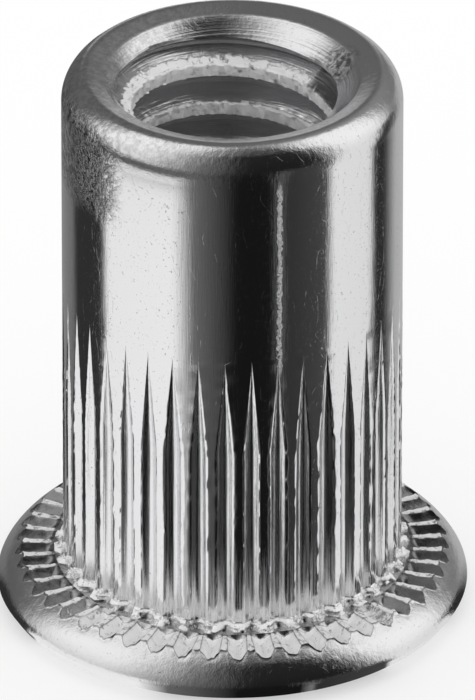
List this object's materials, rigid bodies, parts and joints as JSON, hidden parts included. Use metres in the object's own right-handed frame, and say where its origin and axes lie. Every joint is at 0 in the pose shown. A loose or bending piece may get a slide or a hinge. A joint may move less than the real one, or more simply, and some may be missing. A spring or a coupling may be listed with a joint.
{
  "type": "rivet nut",
  "caption": "Flanged blind rivet nut: a knurled round shank with a serrated flange, a threaded end and a thin crush zone.",
  "frame": {"origin": "centre of the flange's bottom face", "axes": "+Z along the nut's axis, from the flange to the threaded end"},
  "size_m": [0.0153, 0.0152, 0.0192],
  "materials": {
    "plated_steel": "bright zinc plating with fine scratches and rolled, rough grooves"
  },
  "bodies": {
    "root": {"rivet_nut": "plated_steel"}
  },
  "joints": []
}
